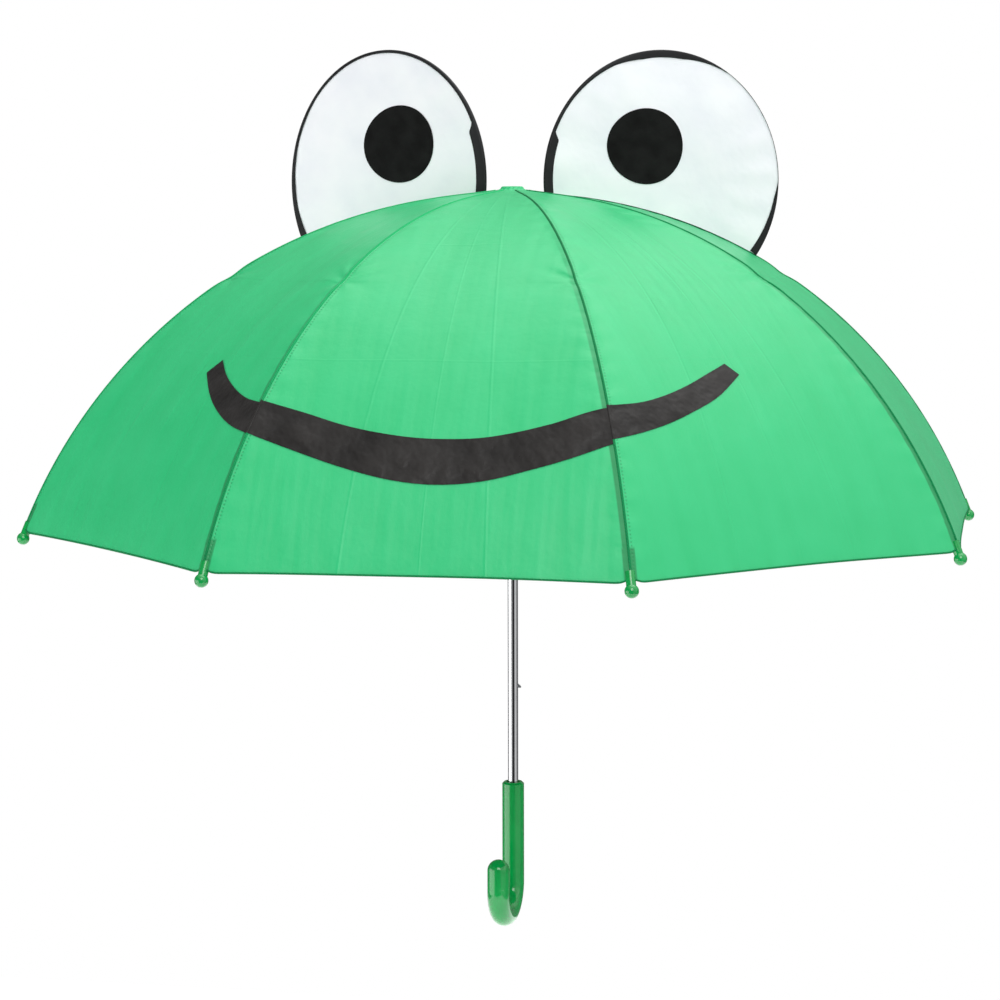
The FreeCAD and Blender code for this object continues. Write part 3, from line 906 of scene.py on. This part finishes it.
@dataclass
class Canopy:
    """The eight sewn gores with their seams and rolled hem."""

    dyer: Dyer
    form: CanopyForm = CanopyForm()
    columns: int = 48
    upper_rows: int = 56
    lower_rows: int = 64
    overlap: float = 16 * MM
    upper_keep: float = 0.36
    tuck: float = 0.9 * MM
    tuck_reach: float = 7.0 * MM
    hem_roll: float = 0.7 * MM
    seam_start: float = 6.0 * MM
    seam_past_hem: float = 0.6 * MM

    def facts(self, panel: int, across: Fact, down: Fact) -> dict[str, Fact]:
        """Lists the numbers that the cloth's material reads at each point.

        Args:
            panel: the gore's number.
            across: the place across the gore.
            down: the distance down it.

        Returns:
            The facts by name.
        """
        return {
            "across": across,
            "down": down,
            "half_width": lambda u, v: self.form.half_width(down(u, v)),
            "panel": lambda u, v: float(panel),
        }

    def upper(self, panel: int, side: int) -> bpy.types.Object:
        """Makes half of a gore's upper part, which folds with its rib.

        Args:
            panel: the gore's number.
            side: -1 for the half by the gore's own rib, 1 for the other half.

        Returns:
            The piece.
        """
        start = min(side, 0)

        def across(u: float, v: float) -> float:
            """Returns the place across the gore."""
            return start + u

        def down(u: float, v: float) -> float:
            """Returns the distance down the gore."""
            return v * self.form.split

        rib = panel if side < 0 else panel % PANELS + 1
        piece = sheet_piece(
            f"gore_{panel}_top_{'a' if side < 0 else 'b'}", self.columns // 2, self.upper_rows,
            lambda u, v: self.form.spot(panel, across(u, v), down(u, v)),
            self.facts(panel, across, down),
        )
        self.dyer.dress(piece, Finish.CANOPY)
        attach(piece, f"rib_{rib}")
        crumple_to(piece, rib_turn(rib), self.upper_keep)
        return piece

    def lower(self, panel: int) -> bpy.types.Object:
        """Makes a gore's lower part, which folds against the shaft.

        Args:
            panel: the gore's number.

        Returns:
            The piece.
        """
        top = self.form.split - self.overlap

        def across(u: float, v: float) -> float:
            """Returns the place across the gore."""
            return 2 * u - 1

        def down(u: float, v: float) -> float:
            """Returns the distance down the gore."""
            return lerp(top, self.form.hem(across(u, v)), v)

        def place(u: float, v: float) -> Vector:
            """Returns the point, tucked under the upper part where the two lap."""
            reach = down(u, v)
            tuck = -self.tuck * ease((self.form.split - reach) / self.tuck_reach)
            return self.form.spot(panel, across(u, v), reach, tuck)

        piece = sheet_piece(
            f"gore_{panel}_skirt", self.columns, self.lower_rows, place,
            self.facts(panel, across, down),
        )
        self.dyer.dress(piece, Finish.CANOPY)
        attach(piece, f"canopy_{panel}")
        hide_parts(f"canopy_panel_{panel}")
        crumple_to(piece, panel_turn(panel), SKIRT_KEEP)
        return piece

    def hem(self, panel: int) -> bpy.types.Object:
        """Makes the narrow roll along a gore's hem.

        Args:
            panel: the gore's number.

        Returns:
            The piece.
        """

        def place(u: float, v: float) -> Vector:
            """Returns the point round the roll."""
            across = 2 * u - 1
            turn = 2 * math.pi * v
            reach = self.form.hem(across) + self.hem_roll * math.cos(turn)
            return self.form.spot(panel, across, reach, -self.hem_roll * math.sin(turn))

        piece = sheet_piece(
            f"hem_{panel}", 120, 8, place, {"shade": lambda u, v: 1.0}, flip=True
        )
        self.dyer.dress(piece, Finish.SEAM)
        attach(piece, f"canopy_{panel}")
        crumple_to(piece, panel_turn(panel), SKIRT_KEEP)
        return piece

    def seam(self, rib: int, lower: bool) -> bpy.types.Object:
        """Makes one of the two lengths of raised seam over a rib.

        Args:
            rib: the rib's number.
            lower: True for the length below the rib's flex.

        Returns:
            The piece.
        """
        start, end = self.seam_start, self.form.split
        if lower:
            start, end = self.form.split, self.form.hem(1.0) + self.seam_past_hem
        name = f"seam_{rib}_{'low' if lower else 'top'}"
        piece = seam_piece(name, self.form, rib, start, end)
        self.dyer.dress(piece, Finish.SEAM)
        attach(piece, f"rib_end_{rib}" if lower else f"rib_{rib}")
        return piece

    def build(self) -> None:
        """Makes every gore."""
        width = 2 * self.form.half_width(self.form.hem_at_rib)
        for panel in range(1, PANELS + 1):
            for side in (-1, 1):
                half = self.upper(panel, side)
                extra = [self.seam(panel, lower=False)] if side < 0 else []
                self.form.half_width(self.form.split)
            skirt = self.lower(panel)
            trims = [self.hem(panel), self.seam(panel, lower=True)]
            log.info("gore %d sewn", panel)


@dataclass
class Mouth:
    """The black smile, printed cloth sewn on in three lengths, one to a panel.

    An edge is a run of (turn, reach): the turn counts panels from the front one's
    middle and the reach is millimetres down from the crown.
    """

    dyer: Dyer
    form: CanopyForm = CanopyForm()
    lift: float = 0.4 * MM
    seam_swell: float = 0.15 * MM
    upper: dict[int, tuple] = field(default_factory=lambda: {
        1: ((-0.89, 310.3), (-0.8, 323.5), (-0.7, 334.0), (-0.6, 341.0), (-0.5, 344.0)),
        2: ((-0.5, 342.0), (-0.37, 350.5), (-0.22, 362.0), (-0.08, 368.7), (0.03, 370.5),
            (0.16, 368.5), (0.33, 358.5), (0.44, 349.0), (0.5, 345.0)),
        3: ((0.5, 342.8), (0.615, 341.5), (0.705, 337.0), (0.8, 329.4), (0.9, 319.2),
            (0.985, 310.6)),
    })
    under: dict[int, tuple] = field(default_factory=lambda: {
        1: ((-0.933, 323.0), (-0.84, 339.5), (-0.77, 349.5), (-0.68, 359.0), (-0.6, 364.8),
            (-0.5, 369.0)),
        2: ((-0.5, 368.5), (-0.365, 380.5), (-0.22, 393.0), (-0.09, 401.7), (0.03, 404.9),
            (0.15, 402.0), (0.27, 393.5), (0.38, 384.5), (0.5, 373.0)),
        3: ((0.5, 369.7), (0.59, 366.0), (0.686, 360.2), (0.774, 352.8), (0.9, 339.7),
            (1.02, 321.0)),
    })

    def edge_spot(self, stations: tuple, u: float) -> tuple[float, float]:
        """Returns the turn and the reach in metres, u of the way along an edge."""
        turn = lerp(stations[0][0], stations[-1][0], u)
        return turn, smooth_through(stations, turn) * MM

    def length(self, panel: int) -> bpy.types.Object:
        """Makes the length of smile on one panel.

        Args:
            panel: the panel's number.

        Returns:
            The piece.
        """

        def place(u: float, v: float) -> Vector:
            """Returns the point between the upper and under edges."""
            turn_a, reach_a = self.edge_spot(self.upper[panel], u)
            turn_b, reach_b = self.edge_spot(self.under[panel], u)
            across = 2 * (lerp(turn_a, turn_b, v) - (panel - 2))
            return self.form.spot(panel, across, lerp(reach_a, reach_b, v), self.lift)

        piece = sheet_piece(f"mouth_{panel}", 60, 12, place)
        self.dyer.dress(piece, Finish.MOUTH)
        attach(piece, f"canopy_{panel}")
        crumple_to(piece, panel_turn(panel), SKIRT_KEEP)
        return piece

    def bridge(self, rib: int) -> bpy.types.Object:
        """Makes the black stretch of seam where the smile crosses a rib.

        Args:
            rib: the rib's number.

        Returns:
            The piece.
        """
        top, bottom = (edge[rib][0][1] * MM for edge in (self.upper, self.under))
        piece = seam_piece(f"mouth_seam_{rib}", self.form, rib, top, bottom, self.seam_swell)
        self.dyer.dress(piece, Finish.MOUTH)
        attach(piece, f"rib_end_{rib}")
        return piece

    def build(self) -> None:
        """Makes the smile's three lengths."""
        sizes = {1: (0.112, 0.05), 2: (0.24, 0.064), 3: (0.128, 0.055)}
        for panel, size in sizes.items():
            piece = self.length(panel)
            extra = [self.bridge(panel)] if panel > 1 else []
        log.info("mouth sewn on")


@dataclass
class Eye:
    """One pop-up eye: a white front, a black back, a hoop's binding and a pupil.

    A place in the eye's plane is its distance out from the shaft and its height above
    the crown. The binding is a run of (degrees round the outline, width in millimetres).
    """

    dyer: Dyer
    side: str
    rib: int
    facing: int
    binding: tuple[tuple[float, float], ...]
    centre: tuple[float, float] = (118.0 * MM, 5.0 * MM)
    half_axes: tuple[float, float] = (93.0 * MM, 99.0 * MM)
    pupil_at: tuple[float, float] = (104.0 * MM, 31.0 * MM)
    pupil_radii: tuple[float, float] = (30.0 * MM, 29.0 * MM)
    foot: float = 396.5 * MM
    wall: float = 1.0 * MM
    puff_height: float = 1.6 * MM
    slack_height: float = 0.7 * MM
    gather_height: float = 0.5 * MM
    patch_lift: float = 0.35 * MM
    panel_height: float = 150.0 * MM
    form: CanopyForm = CanopyForm()

    def spot(self, out: float, up: float, proud: float) -> Vector:
        """Returns the point at a place in the eye's plane, proud of it on its front side."""
        return place_round(rib_turn(self.rib), out, proud * self.facing, CROWN_HEIGHT + up)

    def rim(self, turn: float, inset: float = 0.0) -> tuple[float, float]:
        """Follows the eye's outline.

        Args:
            turn: the angle round its centre.
            inset: how far inside the outline to stay.

        Returns:
            The place in the eye's plane.
        """
        return (
            self.centre[0] + (self.half_axes[0] - inset) * math.cos(turn),
            self.centre[1] + (self.half_axes[1] - inset) * math.sin(turn),
        )

    def foot_height(self, out: float) -> float:
        """Returns the height of the canopy's surface under the eye."""
        return self.form.drop + math.sqrt(self.foot**2 - (out - self.form.hub) ** 2)

    def above(self, turn: float) -> bool:
        """Returns True where the outline stands clear of the canopy."""
        out, up = self.rim(turn)
        return up > self.foot_height(out)

    def ends(self) -> tuple[float, float]:
        """Searches from the outline's top for where it meets the canopy.

        Returns:
            The angle on the outer side and the angle by the crown.
        """
        low, high = math.radians(90.0), math.radians(90.0)
        step = math.radians(0.25)
        while self.above(low - step):
            low -= step
        while self.above(high + step):
            high += step
        return low - step, high + step

    def puff(self, out: float, up: float) -> float:
        """Works out how far the stretched cloth stands proud of the hoop.

        Args:
            out: the distance out from the shaft.
            up: the height above the crown.

        Returns:
            The rise in metres.
        """
        x = (out - self.centre[0]) / self.half_axes[0]
        z = (up - self.centre[1]) / self.half_axes[1]
        off = clamp(x * x + z * z)
        turn = math.atan2(z, x)
        gathers = self.gather_height * off**2 * math.sin(17 * turn + 2.0 * math.sin(3 * turn))
        waves = math.sin(5.2 * x + 3.1 * z + self.rib)
        slack = self.slack_height * waves * math.sin(4.4 * z - 2.3 * x)
        return (self.puff_height + slack) * (1 - off) + gathers * (1 - off**6)

    def panel_spot(self, u: float, v: float) -> tuple[float, float]:
        """Lays the grid of a cut panel over the part of the eye above the canopy.

        Args:
            u: the share across the eye, from the shaft outwards.
            v: the share up it.

        Returns:
            The place in the eye's plane.
        """
        turn = math.pi * lerp(0.012, 0.988, u)
        swing = self.half_axes[1] * math.sin(turn)
        out = self.centre[0] - self.half_axes[0] * math.cos(turn)
        low = max(self.centre[1] - swing, self.foot_height(out))
        return out, lerp(low, self.centre[1] + swing, v)

    def face(self, front: bool) -> bpy.types.Object:
        """Makes the front or the back panel.

        Args:
            front: True for the white front.

        Returns:
            The piece.
        """
        way = 1 if front else -1

        def place(u: float, v: float) -> Vector:
            """Returns the point on the panel."""
            out, up = self.panel_spot(u, v)
            return self.spot(out, up, way * (self.wall + self.puff(out, up)))

        flip = (way * self.facing) < 0
        name = "front" if front else "back"
        piece = sheet_piece(f"eye_{self.side}_{name}_panel", 80, 56, place, flip=flip)
        self.dyer.dress(piece, Finish.EYE_WHITE if front else Finish.EYE_BLACK)
        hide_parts(f"eye_{self.side}_{name}")
        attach(piece, f"eye_{self.side}")
        return piece

    def edging(self) -> bpy.types.Object:
        """Makes the black binding, which is drawn unevenly over the hoop.

        Returns:
            The piece.
        """
        low, high = self.ends()
        profile = (1.6, 1.75, 1.2, 0.0, -1.2, -1.75, -1.6)

        def place(u: float, v: float) -> Vector:
            """Returns the point round the binding."""
            turn = lerp(low, high, u)
            width = straight_through(self.binding, math.degrees(turn)) * MM
            insets = (width, min(width, 0.6 * MM), -0.35 * MM, -0.5 * MM, -0.35 * MM,
                      0.6 * MM, 7.0 * MM)
            step = clamp(v) * (len(profile) - 1)
            i = min(int(step), len(profile) - 2)
            out, up = self.rim(turn, lerp(insets[i], insets[i + 1], step - i))
            return self.spot(out, up, lerp(profile[i], profile[i + 1], step - i) * MM)

        piece = sheet_piece(f"eye_{self.side}_binding", 220, 12, place, flip=self.facing < 0)
        self.dyer.dress(piece, Finish.EYE_BLACK)
        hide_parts(f"eye_{self.side}_hoop")
        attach(piece, f"eye_{self.side}")
        return piece

    def pupil(self) -> bpy.types.Object:
        """Makes the round black patch.

        Returns:
            The piece.
        """

        def place(u: float, v: float) -> Vector:
            """Returns the point of a square grid rounded into a disc."""
            x, z = 2 * u - 1, 2 * v - 1
            round_x, round_z = x * math.sqrt(1 - z * z / 2), z * math.sqrt(1 - x * x / 2)
            turn = math.atan2(round_z, round_x)
            swell = 1 + 0.012 * math.sin(3 * turn + self.rib)
            out = self.pupil_at[0] + self.pupil_radii[0] * swell * round_x
            up = self.pupil_at[1] + self.pupil_radii[1] * swell * round_z
            return self.spot(out, up, self.wall + self.puff(out, up) + self.patch_lift)

        piece = sheet_piece(f"eye_{self.side}_pupil_patch", 32, 32, place, flip=self.facing < 0)
        self.dyer.dress(piece, Finish.PUPIL)
        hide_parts(f"eye_{self.side}_pupil")
        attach(piece, f"eye_{self.side}")
        return piece

    def build(self) -> None:
        """Makes the whole eye."""
        front, back = self.face(front=True), self.face(front=False)
        self.edging()
        self.pupil()
        log.info("%s eye stretched on its hoop", self.side)


@dataclass
class Crown:
    """The gathered cloth cap over the notch.

    Its profile is a run of (radius, height) in millimetres, from the middle outwards.
    Its facts stand for a plain spot on the cloth, away from seams and folds.
    """

    dyer: Dyer
    pleats: int = 16
    pleat_height: float = 0.3 * MM
    pleat_start: float = 5.0 * MM
    edge: float = 11.6 * MM
    facts: dict[str, float] = field(default_factory=lambda: {
        "across": 0.6, "half_width": 0.03, "panel": 9.0,
    })
    profile: tuple[tuple[float, float], ...] = (
        (0.0, 0.3), (4.0, 0.35), (7.3, 0.1), (8.4, -0.4), (8.7, -1.0), (9.0, -1.6),
        (9.7, -2.1), (10.6, -2.5), (11.6, -2.9),
    )

    def build(self) -> None:
        """Makes the cap by turning its profile round the shaft."""
        mesh_maker = bmesh.new()
        line = [
            mesh_maker.verts.new((radius * MM, 0.0, CROWN_HEIGHT + height * MM))
            for radius, height in self.profile
        ]
        edges = [mesh_maker.edges.new(pair) for pair in zip(line, line[1:])]
        bmesh.ops.spin(mesh_maker, geom=line + edges, cent=(0, 0, 0), axis=(0, 0, 1),
                       angle=2 * math.pi, steps=96, use_merge=True)
        bmesh.ops.remove_doubles(mesh_maker, verts=mesh_maker.verts, dist=1e-7)
        bmesh.ops.recalc_face_normals(mesh_maker, faces=mesh_maker.faces)
        for vert in mesh_maker.verts:
            radius = math.hypot(vert.co.x, vert.co.y)
            fold = math.cos(self.pleats * math.atan2(vert.co.y, vert.co.x))
            grown = ease((radius - self.pleat_start) / (4 * MM))
            vert.co.z += self.pleat_height * fold * grown * ease((self.edge - radius) / (1 * MM))
        for key, fact in self.facts.items():
            layer = mesh_maker.verts.layers.float.new(key)
            for vert in mesh_maker.verts:
                vert[layer] = fact
        piece = finished("crown_cover", mesh_maker)
        self.dyer.dress(piece, Finish.CANOPY)
        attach(piece, "shaft")
        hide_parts("top_cap")
        log.info("crown covered")


@dataclass
class Strap:
    """The closing strap on the back panel."""

    dyer: Dyer
    panel: int = 6
    start: float = 356.6 * MM
    end: float = 450.0 * MM
    width: float = 14.0 * MM
    lift: float = 1.3 * MM
    groove: float = 0.3 * MM
    form: CanopyForm = CanopyForm()

    def build(self) -> None:
        """Makes the strap."""

        def place(u: float, v: float) -> Vector:
            """Returns the point on the strap, its edges turned down to the cloth."""
            reach = lerp(self.start, self.end, v)
            aside = (u - 0.5) * self.width
            edge = min(u, 1 - u) * self.width
            lift = self.lift * (0.35 + 0.65 * ease(edge / (1.2 * MM)))
            groove = -self.groove * hump(edge - 2 * MM, 0.5 * MM)
            across = aside / self.form.half_width(reach)
            return self.form.spot(self.panel, across, reach, lift + groove)

        facts = {
            "across": lambda u, v: (u - 0.5) * 0.2,
            "down": lambda u, v: lerp(0.36, 0.44, v),
            "half_width": lambda u, v: 0.12,
            "panel": lambda u, v: 9.0,
        }
        piece = sheet_piece("closing_strap", 28, 60, place, facts)
        self.dyer.dress(piece, Finish.CANOPY)
        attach(piece, f"canopy_{self.panel}")
        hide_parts("tie_strap")
        crumple_to(piece, panel_turn(self.panel), SKIRT_KEEP)
        log.info("strap sewn on")


@dataclass
class Hardware:
    """The CAD pieces that stay, dressed in plastic and steel."""

    dyer: Dyer
    finishes: dict[str, Finish] = field(default_factory=lambda: {
        "hook_handle": Finish.GREEN_PLASTIC,
        "rib_tip_": Finish.GREEN_PLASTIC,
        "shaft_tube": Finish.CHROME,
        "runner_stop_pin": Finish.SNAP,
        "runner_wire": Finish.WIRE,
        "notch_wire": Finish.WIRE,
        "runner": Finish.DARK_PLASTIC,
        "top_notch": Finish.DARK_PLASTIC,
        "top_catch_spring": Finish.SPRING,
        "bottom_catch_spring": Finish.SPRING,
        "rib_": Finish.RIB,
        "stretcher_": Finish.RIB,
        "strap_snap": Finish.SNAP,
    })

    def build(self, nodes: dict[str, bpy.types.Object]) -> None:
        """Dresses each node with the finish of the longest matching name.

        Args:
            nodes: the frame's nodes by name.
        """
        for name, node in nodes.items():
            fits = [start for start in self.finishes if name.startswith(start)]
            if not fits:
                continue
            material = self.dyer.material(self.finishes[max(fits, key=len)])
            for slot in node.material_slots:
                slot.material = material
        log.info("hardware dressed")


@dataclass(frozen=True)
class Lamp:
    """A soft light: where it hangs, what it faces, its size in metres and its watts."""

    name: str
    at: tuple[float, float, float]
    target: tuple[float, float, float]
    size: tuple[float, float]
    power: float

    def hang(self) -> None:
        """Puts the lamp in the scene."""
        data = bpy.data.lights.new(self.name, "AREA")
        data.shape = "RECTANGLE"
        data.size, data.size_y = self.size
        data.energy = self.power
        lamp = bpy.data.objects.new(self.name, data)
        lamp.location = self.at
        way = Vector(self.target) - Vector(self.at)
        lamp.rotation_euler = way.to_track_quat("-Z", "Y").to_euler()
        bpy.context.scene.collection.objects.link(lamp)


@dataclass
class Studio:
    """A pale floor, soft lights, a sky and the camera.

    The sky's light grows along sky_way: sky_band is the span it changes over and
    sky_light its strength at the two ends. The camera itself sees plain white.
    """

    camera_at: tuple[float, float, float] = (0.3816, -2.0028, 0.4726)
    yaw: float = 11.063
    pitch: float = 5.96
    roll: float = -0.12
    lens: float = 95.57
    floor_drop: float = 0.5
    floor_half: float = 1.4
    floor_glow: float = 0.52
    lamps: tuple[Lamp, ...] = (
        Lamp("low", (-1.7, -0.9, -0.1), (0.0, 0.0, 0.0), (2.4, 1.0), 19.0),
        Lamp("key", (0.6, -2.2, 1.7), (0.0, 0.0, 0.3), (1.4, 1.4), 31.0),
        Lamp("overhead", (0.4, 0.3, 2.4), (0.0, 0.0, 0.3), (2.2, 2.2), 25.0),
        Lamp("right", (1.8, -0.9, 0.1), (0.0, 0.0, 0.1), (2.6, 1.4), 5.0),
        Lamp("side", (2.4, -0.2, 1.2), (0.0, 0.0, 0.3), (1.0, 1.6), 1.5),
    )
    sky_way: tuple[float, float, float] = (0.35, 0.0, 1.0)
    sky_band: tuple[float, float] = (0.3, 0.9)
    sky_light: tuple[float, float] = (0.16, 1.15)

    def floor(self, low: float) -> None:
        """Lays the floor below the umbrella.

        Args:
            low: the height of the umbrella's lowest point.
        """
        mesh_maker = bmesh.new()
        bmesh.ops.create_grid(mesh_maker, x_segments=2, y_segments=2, size=self.floor_half)
        bmesh.ops.translate(mesh_maker, verts=mesh_maker.verts, vec=(0, 0, low - self.floor_drop))
        floor = finished("floor", mesh_maker)
        recipe = Recipe("pale_floor")
        cloudy = recipe.noise(recipe.vector(*recipe.position()), 2.0, 3.0)
        tone = recipe.mix(cloudy * 0.5, (0.93, 0.93, 0.93), (0.9, 0.9, 0.9))
        feeds = {
            "Base Color": tone,
            "Roughness": 0.9,
            "Emission Color": (1.0, 1.0, 1.0),
            "Emission Strength": self.floor_glow,
        }
        floor.data.materials.append(recipe.finish(recipe.principled(feeds)))
        floor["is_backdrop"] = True

    def camera(self) -> None:
        """Sets the camera."""
        data = bpy.data.cameras.new("camera")
        data.lens = self.lens
        data.sensor_width = 36.0
        data.clip_end = 100.0
        camera = bpy.data.objects.new("camera", data)
        camera.matrix_world = (
            Matrix.Translation(self.camera_at)
            @ Matrix.Rotation(math.radians(self.yaw), 4, "Z")
            @ Matrix.Rotation(math.radians(90.0 - self.pitch), 4, "X")
            @ Matrix.Rotation(math.radians(self.roll), 4, "Z")
        )
        bpy.context.scene.collection.objects.link(camera)
        bpy.context.scene.camera = camera

    def sky(self) -> None:
        """Makes the sky, dim at the horizon and brighter overhead and to one side."""
        world = bpy.data.worlds.new("studio")
        bpy.context.scene.world = world
        world.use_nodes = True
        tree = world.node_tree
        glow = tree.nodes["Background"]
        glow.inputs["Color"].default_value = (1.0, 1.0, 1.0, 1.0)
        where = tree.nodes.new("ShaderNodeTexCoord")
        height = tree.nodes.new("ShaderNodeVectorMath")
        height.operation = "DOT_PRODUCT"
        height.inputs[1].default_value = self.sky_way
        fall = tree.nodes.new("ShaderNodeMapRange")
        fall.inputs["From Min"].default_value, fall.inputs["From Max"].default_value = self.sky_band
        fall.inputs["To Min"].default_value, fall.inputs["To Max"].default_value = self.sky_light
        rays = tree.nodes.new("ShaderNodeLightPath")
        level = tree.nodes.new("ShaderNodeMapRange")
        level.inputs["To Max"].default_value = 1.0
        link = tree.links.new
        link(where.outputs["Generated"], height.inputs[0])
        link(height.outputs["Value"], fall.inputs["Value"])
        link(rays.outputs["Is Camera Ray"], level.inputs["Value"])
        link(fall.outputs["Result"], level.inputs["To Min"])
        link(level.outputs["Result"], glow.inputs["Strength"])

    def build(self, low: float) -> None:
        """Sets up the whole studio.

        Args:
            low: the height of the umbrella's lowest point.
        """
        self.camera()
        self.floor(low)
        for lamp in self.lamps:
            lamp.hang()
        self.sky()
        bpy.context.scene.view_settings.view_transform = "Standard"


# How wide each eye's binding is drawn: degrees round the outline, then millimetres.
LEFT_BINDING = (
    (-60, 9.0), (-35, 7.5), (-12, 4.6), (14, 3.0), (45, 2.4), (90, 2.0), (140, 2.0),
    (154, 2.4), (157, 7.3), (200, 8.0),
)
RIGHT_BINDING = (
    (-60, 6.5), (-35, 6.0), (-8, 2.5), (0, 0.0), (55, 0.0), (66, 2.0), (80, 5.2),
    (100, 5.5), (115, 3.0), (140, 2.0), (158, 2.0), (161, 6.5), (200, 6.5),
)


def main() -> None:
    """Builds the umbrella's looks around its frame."""
    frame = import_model()
    cad_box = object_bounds()
    dyer = Dyer()
    Studio().build(cad_box[0].z)
    Canopy(dyer).build()
    Mouth(dyer).build()
    Eye(
        dyer, side="left", rib=8, facing=1, binding=LEFT_BINDING,
        half_axes=(93.5 * MM, 102.0 * MM), pupil_at=(104.5 * MM, 34.0 * MM),
        pupil_radii=(33.5 * MM, 30.0 * MM),
    ).build()
    Eye(dyer, side="right", rib=5, facing=-1, binding=RIGHT_BINDING).build()
    Crown(dyer).build()
    Strap(dyer).build()
    Hardware(dyer).build(frame["nodes"])
    bpy.context.view_layer.update()


if __name__ == "__main__":
    main()
